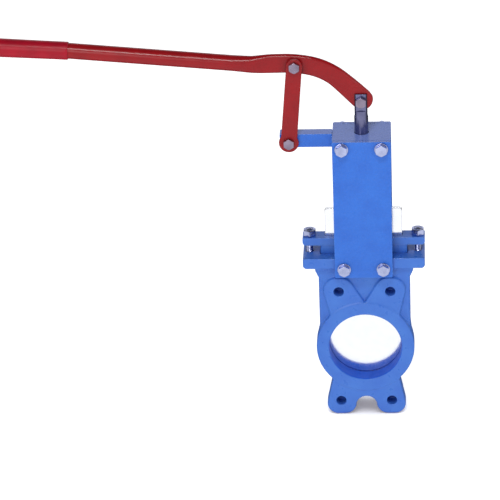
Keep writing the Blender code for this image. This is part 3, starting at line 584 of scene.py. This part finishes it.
def casting(x, y, z):
    """The body as a signed distance in millimetres."""
    start, full, top = FLARE_Z
    chest = outline(x, z, [(-CHEST_HALF, 0), (CHEST_HALF, 0), (CHEST_HALF, start), (FLARE_HALF, full),
                           (FLARE_HALF, top), (-FLARE_HALF, top), (-FLARE_HALF, full), (-CHEST_HALF, start)])
    shape = overlap(chest, between(y, (-CHEST_Y, CHEST_Y)), CHEST_ROUND)
    ring = disc(x, z, (0, 0), RING_R) + REAR_INSET * rearward(y)
    shape = join(shape, overlap(ring, between(y, (-FACE_Y, FACE_Y)), RING_ROUND), RING_FILLET)
    for level in (1, -1):
        pair = overlap(lug(x, y, z, level), between(y, (-LUG_Y, LUG_Y)), LUG_ROUND)
        shape = join(shape, pair, LUG_FILLET)
    shape = overlap(shape, between(y, (-FACE_Y, FACE_Y)), FACE_EDGE)
    flange = overlap(rectangle(x, z, (-FLANGE_HALF, FLANGE_HALF), FLANGE_Z, FLANGE_CORNER_R),
                     between(y, (-FLANGE_Y, FLANGE_Y)), FLANGE_ROUND)
    cut = FLANGE_HALF - FLANGE_CORNER
    low_corners = outline(x, z, [(-FLANGE_HALF, FLANGE_Z[0] + FLANGE_CORNER), (-cut, FLANGE_Z[0]),
                                 (cut, FLANGE_Z[0]), (FLANGE_HALF, FLANGE_Z[0] + FLANGE_CORNER),
                                 (FLANGE_HALF, ABOVE), (-FLANGE_HALF, ABOVE)])
    shape = join(shape, overlap(flange, low_corners, FLANGE_CORNER_R), FLANGE_FILLET)
    shape = overlap(shape, -FLANGE_Y - y, SHARP)
    shape = overlap(shape, y - FLANGE_Y, SHARP)

    front = overlap(disc(x, z, (0, 0), BORE_R), y, SHARP)
    rear = overlap(disc(x, z, (0, 0), SLEEVE_SEAT_R), SLEEVE_SEAT_FRONT - y, SHARP)
    shape = without(shape, front, BORE_EDGE)
    shape = without(shape, rear, SEAT_EDGE)
    slot = np.minimum(disc(x, z, (0, 0), SLOT_HALF), rectangle(x, z, (-SLOT_HALF, SLOT_HALF), (0, ABOVE)))
    shape = without(shape, np.maximum(slot, between(y, SLOT_Y)), SLOT_EDGE)
    channel = rectangle(x, z, (-CHANNEL_HALF, CHANNEL_HALF), CHANNEL_Z)
    shape = without(shape, np.maximum(channel, between(y, CHANNEL_Y)), SLOT_EDGE)
    packing = rectangle(x, z, (-PACKING_HALF, PACKING_HALF), PACKING_Z)
    shape = without(shape, np.maximum(packing, between(y, PACKING_Y)), PACKING_EDGE)
    taps = disc(np.abs(x), np.abs(z), LUG_AT, TAP_R)
    shape = without(shape, np.maximum(taps, (LUG_Y - TAP_DEPTH) - np.abs(y)), TAP_EDGE)
    bolts = disc(np.abs(x), z, YOKE_BOLT_AT, BOLT_R)
    shape = without(shape, np.maximum(bolts, YOKE_BOLT_DEPTH - np.abs(y)), BOLT_EDGE)
    studs = disc(np.abs(x), y, (STUD_X, 0.0), BOLT_R)
    return without(shape, np.maximum(studs, between(z, STUD_Z)), BOLT_EDGE)


def skin_field(field, low, high, cell):
    """Surface nets: one point in each cell that the surface runs through, then moved onto the surface."""
    counts = [int(math.ceil((b - a) / cell)) + 1 for a, b in zip(low, high)]
    x, y, z = [low[i] + cell * np.arange(counts[i]) for i in range(3)]
    values = field(x[:, None, None], y[None, :, None], z[None, None, :])
    solid = values < 0
    corners = [(i, j, k) for i in (0, 1) for j in (0, 1) for k in (0, 1)]
    nx, ny, nz = values.shape
    total = sum(solid[i:nx - 1 + i, j:ny - 1 + j, k:nz - 1 + k].astype(int) for i, j, k in corners)
    active = (total > 0) & (total < 8)
    cells = np.argwhere(active)
    index = np.full(active.shape, -1)
    index[active] = np.arange(len(cells))
    shift = np.zeros((len(cells), 3))
    count = np.zeros(len(cells))
    for a in corners:
        for axis in range(3):
            if a[axis]:
                continue
            b = list(a)
            b[axis] = 1
            va = values[tuple((cells + a).T)]
            vb = values[tuple((cells + b).T)]
            cross = (va < 0) != (vb < 0)
            t = np.where(cross, va / np.where(cross, va - vb, 1.0), 0.0)
            here = np.tile(np.array(a, float), (len(cells), 1))
            here[:, axis] += t
            shift += here * cross[:, None]
            count += cross
    points = np.array(low) + (cells + shift / count[:, None]) * cell

    def at(p):
        return field(p[:, 0], p[:, 1], p[:, 2])

    for _ in range(3):
        value = at(points)
        slope = np.stack([at(points + step) - at(points - step) for step in np.eye(3) * PROBE], 1)
        slope = slope / (2 * PROBE)
        size = np.maximum((slope ** 2).sum(1), LEAST_SLOPE)
        points = points - np.clip(value / size, -cell / 2, cell / 2)[:, None] * slope

    faces = []
    for axis in range(3):
        u, v = [i for i in range(3) if i != axis]
        a = [slice(None)] * 3
        b = [slice(None)] * 3
        a[axis] = slice(0, -1)
        b[axis] = slice(1, None)
        edges = np.argwhere(solid[tuple(a)] != solid[tuple(b)])
        quad = []
        for du, dv in ((1, 1), (0, 1), (0, 0), (1, 0)):
            at_cell = edges.copy()
            at_cell[:, u] -= du
            at_cell[:, v] -= dv
            quad.append(index[tuple(at_cell.T)])
        faces.append(np.stack(quad, 1))
    return points, np.concatenate(faces)


def make_body():
    """The casting, with painted shade on the wall of its front bore: a darker copy of the enamel there."""
    points, faces = skin_field(casting, FIELD_LOW, FIELD_HIGH, CELL)
    low, high = node_span("body")
    points = np.clip(points, np.array(low), np.array(high))
    body = add_piece("body_casting", points.tolist(), faces.tolist(), "body", ALL_SMOOTH)
    body.data.materials.append(FINISH["bore_painted_shade"])
    # Faces of the front bore wall get the painted-shade copy.
    for face in body.data.polygons:
        middle = (face.center - VALVE) / MM
        if middle.y < 0 and math.hypot(middle.x, middle.z) < BORE_R + BORE_SKIN:
            face.material_index = 1


make_body()


# ---------------------------------------------------------------- lever, grip, link and weld

PIN = (0.0, 352.2)
FULCRUM = (-85.3, 405.6)
ANCHOR = (-95.2, 297.5)
BOLT_HOLE = 4.2
EYE = (1.4, 353.8)
EYE_HALF, FLAT_HALF, BAR_R = 14.6, 13.0, 10.4
EYE_Y, FLAT_Y = 3.3, 4.4
NECK = [(-18.5, 373.6), (-36.5, 389.2), (-58.2, 399.9), (-85.3, 405.1), (-112.0, 405.6)]
BAR_FROM = (-143.0, 404.9)
BAR_SLOPE = math.radians(5.5)
GRIP_SLOPE = math.radians(3.7)
GRIP_BEND_X, GRIP_START_X, BAR_END_X = -376.0, -379.5, -493.0
GRIP_START_R, GRIP_R, GRIP_CAP = 11.8, 12.3, 3.2
GRIP_PLAY, GRIP_LIP, GRIP_ROUND, GRIP_TIP_R = 0.3, 4, 4, 2.0
LINK_Y = (-13.7, -8.7)
LINK_R, LINK_EYE_R, LINK_EDGE = 10.3, 13.0, 0.9
BAR_STOPS = (-165, -190, -215, -245, -280, -320, -360, -372)
NECK_END_X, NECK_BLEND = -112.0, 50.0                # where the flat neck starts to turn into the round bar
EYE_TAPER = 60.0                                     # run over which the eye narrows to the neck
THICKEN_FROM, THICKEN_RUN = 19.0, 10.0               # from the pin, where the eye thickens to the neck
EYE_TURNS = (6, 14, 24, 36, 50, 66)                  # degrees round the eye's end
LEVER_DRILL_Y, LINK_DRILL_Y = (-16, 16), (-18, -4)
BAR_SMOOTH, GRIP_SMOOTH = 42.0, 50.0
BAR_END_SHARE = 0.92                                 # the bar's last section, inside the grip
WELD_X, WELD_Y, WELD_Z, WELD_LENGTH = -38.5, 8.5, 290.4, 15.2
WELD_R, WELD_RIPPLE, WELD_PITCH, WELD_STEPS, WELD_SIDES = 1.9, 0.22, 2.3, 48, 20
WELD_END_SHARE, WELD_END_STEPS = 0.35, 5             # how a bead grows from its ends


def smooth(t):
    """0 to 1 with a soft start and end."""
    t = max(0.0, min(1.0, t))
    return t * t * (3 - 2 * t)


def on_bar(x):
    """The bar's centre line at x. It bends down a little at the grip."""
    run = BAR_FROM[0] - max(x, GRIP_BEND_X)
    beyond = max(0.0, GRIP_BEND_X - x)
    return (x, BAR_FROM[1] + run * math.tan(BAR_SLOPE) + beyond * math.tan(GRIP_SLOPE))


def lever_line():
    """Points along the swan neck, then along the straight bar."""
    ends = [EYE] + NECK + [BAR_FROM, on_bar(BAR_FROM[0] - 40)]
    ends = [Vector(p) for p in ends]
    ends = [2 * ends[0] - ends[1]] + ends
    points = []
    for i in range(1, len(ends) - 2):
        p0, p1, p2, p3 = ends[i - 1:i + 3]
        for step in range(8):
            t = step / 8
            points.append(0.5 * (2 * p1 + (p2 - p0) * t + (2 * p0 - 5 * p1 + 4 * p2 - p3) * t * t
                                 + (3 * p1 - p0 - 3 * p2 + p3) * t ** 3))
    for x in (BAR_FROM[0],) + BAR_STOPS + (GRIP_BEND_X, GRIP_BEND_X - 6, BAR_END_X + 2, BAR_END_X):
        points.append(Vector(on_bar(x)))
    return points


def bar_ring(point, along, half_wide, half_thick, sides=40):
    """A section across the bar: round where it is round, a flat with rounded edges at the neck."""
    edge = min(half_wide, half_thick)
    ring = []
    for i in range(sides):
        angle = 2 * math.pi * (i + 0.5) / sides
        c, sine = math.cos(angle), math.sin(angle)
        across = c * edge + math.copysign(half_wide - edge, c)
        ring.append((point.x - along.y * across, sine * half_thick, point.y + along.x * across))
    return ring


def drilled(points, faces, places, span):
    """The mesh with round holes along Y cut through it, as points and faces in millimetres."""
    blank = new_object("blank", points, faces)
    drills = []
    for x, z in places:
        rings = [[(x + BOLT_HOLE * math.cos(2 * math.pi * i / SIDES), y,
                   z + BOLT_HOLE * math.sin(2 * math.pi * i / SIDES)) for i in range(SIDES)] for y in span]
        drills.append(new_object("drill", *skin_rings(rings)))
        cut = blank.modifiers.new("drill", "BOOLEAN")
        cut.operation = "DIFFERENCE"
        cut.solver = "EXACT"
        cut.object = drills[-1]
    bpy.context.view_layer.update()
    mesh = blank.evaluated_get(bpy.context.evaluated_depsgraph_get()).to_mesh()
    new_points = [tuple(v.co) for v in mesh.vertices]
    new_faces = [tuple(f.vertices) for f in mesh.polygons]
    for o in [blank] + drills:
        bpy.data.objects.remove(o, do_unlink=True)
    return new_points, new_faces


def make_lever():
    """A thin round eye, a flat swan neck and a round bar that ends inside the grip."""
    line = lever_line()
    first = (line[1] - line[0]).normalized()
    rings = []
    for angle in EYE_TURNS:
        turn = math.radians(angle)
        half = EYE_HALF * math.sin(turn)
        rings.append(bar_ring(line[0] - first * (EYE_HALF * math.cos(turn)), first, half, min(EYE_Y, half)))
    for i, point in enumerate(line):
        along = (line[min(i + 1, len(line) - 1)] - line[max(i - 1, 0)]).normalized()
        from_pin = (point - Vector(PIN)).length
        blend = smooth((NECK_END_X - point.x) / NECK_BLEND)
        flat = EYE_HALF + (FLAT_HALF - EYE_HALF) * smooth(from_pin / EYE_TAPER)
        flat_y = EYE_Y + (FLAT_Y - EYE_Y) * smooth((from_pin - THICKEN_FROM) / THICKEN_RUN)
        end = 1.0 if point.x > BAR_END_X + 1 else BAR_END_SHARE
        rings.append(bar_ring(point, along, (flat + (BAR_R - flat) * blend) * end,
                              (flat_y + (BAR_R - flat_y) * blend) * end))
    points, faces = drilled(*skin_rings(rings), (PIN, FULCRUM), LEVER_DRILL_Y)
    add_piece("lever_forged", points, faces, "lever", BAR_SMOOTH)


def make_grip():
    """A dipped sleeve, with a soft rim at its open end and a rounded closed one."""
    length = (GRIP_START_X - BAR_END_X) / math.cos(GRIP_SLOPE)
    inner = BAR_R + GRIP_PLAY
    end = length + GRIP_PLAY
    cap = end + GRIP_CAP
    profile = [(inner - 2, end), (inner, end), (inner, 0), (inner + 0.25, -0.45), (GRIP_START_R - 0.35, -0.3),
               (GRIP_START_R, 0.5), (GRIP_START_R + 0.05, GRIP_LIP)]
    for step in range(1, 9):
        t = step / 8
        profile.append((GRIP_START_R + (GRIP_R - GRIP_START_R) * smooth(t), GRIP_LIP + (cap - 10) * t))
    for angle in range(15, 91, 15):
        turn = math.radians(angle)
        profile.append((GRIP_R - GRIP_ROUND + GRIP_ROUND * math.cos(turn),
                        cap - GRIP_ROUND + GRIP_ROUND * math.sin(turn)))
    profile.append((GRIP_TIP_R, cap))
    x0, z0 = on_bar(GRIP_START_X)
    c, sine = math.cos(GRIP_SLOPE), math.sin(GRIP_SLOPE)
    rings = []
    for radius, along in profile:
        ring = []
        for i in range(SIDES):
            angle = 2 * math.pi * i / SIDES
            side, across = radius * math.cos(angle), radius * math.sin(angle)
            ring.append((x0 - along * c + across * sine, side, z0 + along * sine + across * c))
        rings.append(ring)
    points, faces = skin_rings(rings)
    add_piece("lever_grip_dipped", points, faces, "lever_grip", GRIP_SMOOTH)


def flat_rings(points, span, edge):
    """A flat plate with an outline, made thick along Y, with edges rounded to a radius."""
    count = len(points)
    outward = []
    for i in range(count):
        ahead, behind = Vector(points[(i + 1) % count]), Vector(points[i - 1])
        along = (ahead - behind).normalized()
        outward.append((along.y, -along.x))
    rings = []
    for side, y in ((-1, span[0]), (1, span[1])):
        turns = (90, 60, 30, 0) if side < 0 else (0, 30, 60, 90)
        for angle in turns:
            inward = edge * (1 - math.cos(math.radians(angle)))
            depth = edge * (1 - math.sin(math.radians(angle)))
            rings.append([(p[0] - n[0] * inward, y - side * depth, p[1] - n[1] * inward)
                          for p, n in zip(points, outward)])
    return rings


def make_link():
    """A flat bar with a wider eye at its anchor end."""
    along = math.degrees(math.atan2(FULCRUM[1] - ANCHOR[1], FULCRUM[0] - ANCHOR[0]))
    neck = math.degrees(math.asin(LINK_R / LINK_EYE_R)) + 2
    points = (arc(FULCRUM, LINK_R, along - 90, along + 90, 24)
              + arc(ANCHOR, LINK_EYE_R, along + neck, along + 360 - neck, 36))
    points, faces = drilled(*skin_rings(flat_rings(points, LINK_Y, LINK_EDGE)),
                            (FULCRUM, ANCHOR), LINK_DRILL_Y)
    add_piece("link_bar", points, faces, "link", BAR_SMOOTH)


def make_weld():
    """Two short rippled beads that hold the arm against the block."""
    for side, word in ((-1, "front"), (1, "rear")):
        rings = []
        for step in range(WELD_STEPS + 1):
            z = WELD_Z + WELD_LENGTH * step / WELD_STEPS
            ripple = WELD_R + WELD_RIPPLE * math.sin(z * 2 * math.pi / WELD_PITCH)
            from_end = min(step, WELD_STEPS - step)
            radius = ripple * min(1.0, WELD_END_SHARE + from_end / WELD_END_STEPS)
            turns = [2 * math.pi * i / WELD_SIDES for i in range(WELD_SIDES)]
            rings.append([(WELD_X + radius * math.cos(t), side * WELD_Y + radius * math.sin(t), z)
                          for t in turns])
        points, faces = skin_rings(rings)
        bead = add_piece(f"arm_weld_{word}", points, faces, None, THREAD_SMOOTH, slot="plate_enamel")
        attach(bead, BODY_OF["pivot_arm"])


make_lever()
make_grip()
make_link()
make_weld()

EDGE_WIDTH = {"gland_follower": 1.4, "yoke_top_block": 0.9, "pivot_arm": 0.4, "yoke_plate_front": 0.7,
              "yoke_plate_rear": 0.7}
for node_name in frame["nodes"]:
    if not frame["nodes"][node_name].hide_render:
        dress(node_name, EDGE_WIDTH.get(node_name, 0.5))


# ---------------------------------------------------------------- floor, light, camera

FLOOR_HALF = 30.0         # metres, wide enough to fill low side views


def add_floor():
    """A white floor that glows a little, with a soft shadow where the valve stands on it."""
    half = FLOOR_HALF
    mesh = bpy.data.meshes.new("floor")
    mesh.from_pydata([(-half, -half, 0), (half, -half, 0), (half, half, 0), (-half, half, 0)], [],
                     [(0, 1, 2, 3)])
    floor = bpy.data.objects.new("floor", mesh)
    floor.location.z = -0.0005
    bpy.context.scene.collection.objects.link(floor)
    s = Shader("floor_paper")
    tint = s.mix(s.ramp(s.noise(3.0, 2.0), 0.3, 0.7), *PAPER)
    tint = s.mix(s.painted_shade_mask(0.06, 0.25, 0.66), tint, PAPER_SHADOW)
    s.put(s.bsdf.inputs["Base Color"], tint)
    s.bsdf.inputs["Roughness"].default_value = 0.9
    s.bsdf.inputs["Specular IOR Level"].default_value = 0.1
    s.put(s.bsdf.inputs["Emission Color"], tint)
    s.bsdf.inputs["Emission Strength"].default_value = 0.75
    floor.data.materials.append(s.material)
    floor.visible_glossy = False


def add_area(name, place, aim, size, power):
    """A rectangular light at a place, aimed at a point, with its power in watts."""
    light = bpy.data.lights.new(name, "AREA")
    light.shape = "RECTANGLE"
    light.size, light.size_y = size
    light.energy = power
    o = bpy.data.objects.new(name, light)
    o.location = place
    o.rotation_euler = (Vector(aim) - Vector(place)).to_track_quat("-Z", "Y").to_euler()
    bpy.context.scene.collection.objects.link(o)


def add_world():
    """Surroundings for the reflections: white in front and low down, dark behind the floor and overhead."""
    world = bpy.data.worlds.new("studio")
    world.use_nodes = True
    tree = world.node_tree
    direction = tree.nodes.new("ShaderNodeTexCoord").outputs["Generated"]
    axes = tree.nodes.new("ShaderNodeSeparateXYZ")
    tree.links.new(direction, axes.inputs[0])

    def ramp(socket, low, high, start, end):
        node = tree.nodes.new("ShaderNodeMapRange")
        node.interpolation_type = "SMOOTHSTEP"
        tree.links.new(socket, node.inputs["Value"])
        for key, value in (("From Min", low), ("From Max", high), ("To Min", start), ("To Max", end)):
            if isinstance(value, bpy.types.NodeSocket):
                tree.links.new(value, node.inputs[key])
            else:
                node.inputs[key].default_value = value
        return node.outputs["Result"]

    low_front = ramp(axes.outputs["Y"], -0.55, 0.35, 1.2, 0.10)
    high = ramp(axes.outputs["Z"], 0.45, 0.65, 1.0, 0.10)
    level = ramp(axes.outputs["Z"], -0.06, 0.04, low_front, high)
    background = tree.nodes["Background"]
    tint = tree.nodes.new("ShaderNodeMix")
    tint.data_type = "RGBA"
    tint.inputs["Factor"].default_value = 1.0
    tint.blend_type = "MULTIPLY"
    tint.inputs["A"].default_value = (0.94, 0.96, 1.0, 1)
    tree.links.new(level, tint.inputs["B"])
    tree.links.new(tint.outputs["Result"], background.inputs["Color"])
    background.inputs["Strength"].default_value = 0.95
    bpy.context.scene.world = world


def add_camera():
    """The view along the camera angles at the top, rolled about its own axis."""
    az, el, roll = CAM_AZIMUTH, CAM_ELEVATION, CAM_ROLL
    forward = Vector((-math.sin(az) * math.cos(el), math.cos(az) * math.cos(el), -math.sin(el)))
    right = forward.cross(Vector((0, 0, 1))).normalized()
    up = right.cross(forward)
    across = math.cos(roll) * right + math.sin(roll) * up
    above = -math.sin(roll) * right + math.cos(roll) * up
    data = bpy.data.cameras.new("camera")
    data.sensor_width = CAM_SENSOR
    data.lens = CAM_LENS
    data.clip_end = 50.0
    camera = bpy.data.objects.new("camera", data)
    turn = Matrix((across, above, -forward)).transposed().to_4x4()
    camera.matrix_world = Matrix.Translation(CAM_TARGET - forward * CAM_DISTANCE) @ turn
    bpy.context.scene.collection.objects.link(camera)
    bpy.context.scene.camera = camera


add_floor()
add_world()
add_area("key", (-0.9, -3.0, 1.7), (0.1, 0, 0.25), (1.4, 1.2), 27)
add_area("fill", (2.4, -1.8, 1.2), (0.2, 0, 0.2), (1.2, 1.6), 8)
add_area("top", (0.1, -1.3, 2.3), (0.0, 0, 0.4), (1.0, 0.4), 23)
add_camera()
bpy.context.scene.view_settings.view_transform = "Standard"
